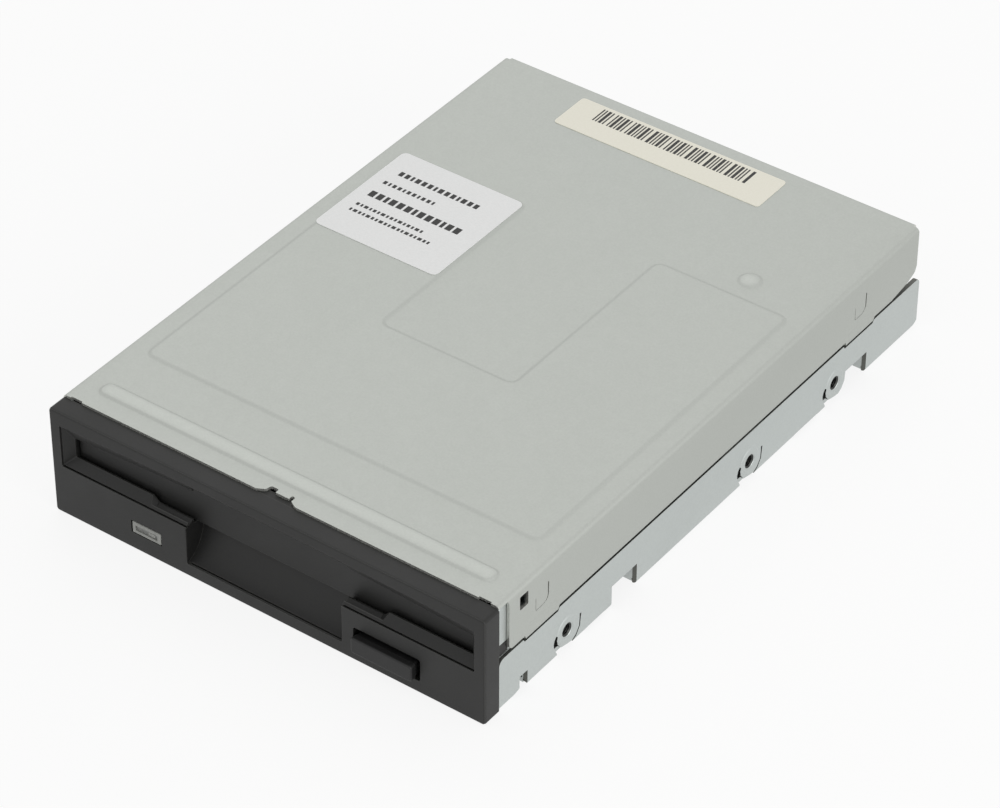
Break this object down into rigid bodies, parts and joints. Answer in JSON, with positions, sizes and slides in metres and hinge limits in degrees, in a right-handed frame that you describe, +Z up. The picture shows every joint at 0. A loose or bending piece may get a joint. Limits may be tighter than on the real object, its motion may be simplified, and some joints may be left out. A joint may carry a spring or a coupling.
{
  "type": "floppy disk drive",
  "caption": "Slim internal bay disk drive: pressed steel chassis and cover, dark bezel with sprung slot door, thumb recess, lamp and eject button.",
  "frame": {"origin": "on the underside, on the centre line, in the plane of the bezel's rear face", "axes": "+X to the right seen from the front, +Y to the rear, +Z up"},
  "size_m": [0.1016, 0.1478, 0.0259],
  "materials": {
    "galvanised_steel": "satin",
    "cover_steel": "satin",
    "charcoal_plastic": "matt",
    "clear_lens": "gloss",
    "paper_label": "matt",
    "cream_label": "matt",
    "spring_steel": "satin",
    "motor_steel": "satin",
    "copper_coil": "gloss",
    "magnet": "matt",
    "green_board": "gloss",
    "black_plastic": "matt",
    "gold_pin": "gloss",
    "white_plastic": "matt",
    "ribbon_film": "gloss",
    "bearing_brass": "satin"
  },
  "bodies": {
    "drive_body": {"chassis": "galvanised_steel", "top_cover": "cover_steel", "bezel": "charcoal_plastic", "activity_lamp": "clear_lens", "rating_label": "paper_label", "barcode_label": "cream_label", "door_spring": "spring_steel", "slide_springs": "spring_steel", "motor_board": "green_board", "motor_screws": "spring_steel", "spindle_bearing": "bearing_brass", "stator_core": "motor_steel", "stator_coils": "copper_coil", "index_sensor": "black_plastic", "guide_rod": "spring_steel", "rod_clamps": "black_plastic", "head_ribbon": "ribbon_film", "screw_bearing": "black_plastic", "stepper_motor": "motor_steel", "stepper_bracket": "galvanised_steel", "stepper_screws": "spring_steel", "track_sensor": "black_plastic", "main_board": "green_board", "board_screws": "spring_steel", "data_header": "black_plastic", "data_pins": "gold_pin", "power_header": "white_plastic", "power_pins": "gold_pin", "controller_chip": "black_plastic", "driver_chip": "black_plastic", "resonator": "white_plastic", "capacitors": "black_plastic", "small_components": "black_plastic", "ribbon_socket": "white_plastic", "switch_cases": "black_plastic"},
    "slot_door_body": {"slot_door": "charcoal_plastic"},
    "slide_body": {"eject_button": "charcoal_plastic", "slide_plate": "galvanised_steel"},
    "holder_body": {"cassette_holder": "galvanised_steel", "holder_pins": "spring_steel", "disk_springs": "spring_steel", "lever_pivot": "spring_steel", "lever_spring": "spring_steel"},
    "lever_body": {"eject_lever": "white_plastic"},
    "spindle_body": {"rotor_cup": "motor_steel", "rotor_magnet": "magnet", "spindle_shaft": "spring_steel", "hub_plate": "motor_steel"},
    "drive_pin_body": {"drive_pin": "white_plastic"},
    "carriage_body": {"head_carriage": "black_plastic", "lower_head": "white_plastic", "screw_follower": "white_plastic", "arm_spring": "spring_steel"},
    "arm_body": {"head_arm": "black_plastic", "upper_head": "white_plastic"},
    "screw_body": {"lead_screw": "spring_steel"},
    "protect_body": {"protect_plunger": "white_plastic"},
    "density_body": {"density_plunger": "white_plastic"}
  },
  "joints": [
    {"name": "door_swing", "type": "hinge", "parent": "drive_body", "child": "slot_door_body", "pos_m": [0, -0.001, 0.0206], "axis": [1, 0, 0], "range_deg": [0, 80], "stiffness_Nm_per_rad": 0.0008, "springref_deg": -34.38, "deforming": ["door_spring"]},
    {"name": "eject_slide", "type": "slide", "parent": "drive_body", "child": "slide_body", "axis": [0, -1, 0], "range_m": [0, 0.0065], "deforming": ["slide_springs"]},
    {"name": "holder_drop", "type": "slide", "parent": "drive_body", "child": "holder_body", "axis": [0, 0, -1], "range_m": [0, 0.0028]},
    {"name": "lever_swing", "type": "hinge", "parent": "holder_body", "child": "lever_body", "pos_m": [-0.038, 0.066, 0.0192], "axis": [0, 0, 1], "range_deg": [0, 35], "deforming": ["lever_spring"]},
    {"name": "spindle_turn", "type": "hinge", "parent": "drive_body", "child": "spindle_body", "pos_m": [0, 0.047, 0.008], "axis": [0, 0, 1], "continuous": true},
    {"name": "drive_pin_press", "type": "slide", "parent": "spindle_body", "child": "drive_pin_body", "axis": [0, 0, -1], "range_m": [0, 0.0013], "stiffness_N_per_m": 100, "springref_m": -0.0005},
    {"name": "head_travel", "type": "slide", "parent": "drive_body", "child": "carriage_body", "axis": [0, -1, 0], "range_m": [0, 0.0148], "deforming": ["head_ribbon"]},
    {"name": "arm_tilt", "type": "hinge", "parent": "carriage_body", "child": "arm_body", "pos_m": [0, 0.1215, 0.0165], "axis": [1, 0, 0], "range_deg": [0, 8], "deforming": ["arm_spring"]},
    {"name": "screw_turn", "type": "hinge", "parent": "drive_body", "child": "screw_body", "pos_m": [0.02, 0.1, 0.009], "axis": [0, 1, 0], "range_deg": [0, 1421.3]},
    {"name": "protect_press", "type": "slide", "parent": "drive_body", "child": "protect_body", "axis": [0, 0, -1], "range_m": [0, 0.0012], "stiffness_N_per_m": 60, "springref_m": -0.0006},
    {"name": "density_press", "type": "slide", "parent": "drive_body", "child": "density_body", "axis": [0, 0, -1], "range_m": [0, 0.0012], "stiffness_N_per_m": 60, "springref_m": -0.0006}
  ],
  "couplings": [
    {"joint": "holder_drop", "follows": "eject_slide", "ratio": 0.43076},
    {"joint": "lever_swing", "follows": "eject_slide", "rad_per_m": 93.978},
    {"joint": "arm_tilt", "follows": "eject_slide", "rad_per_m": 21.481},
    {"joint": "screw_turn", "follows": "head_travel", "rad_per_m": 1675.5}
  ]
}
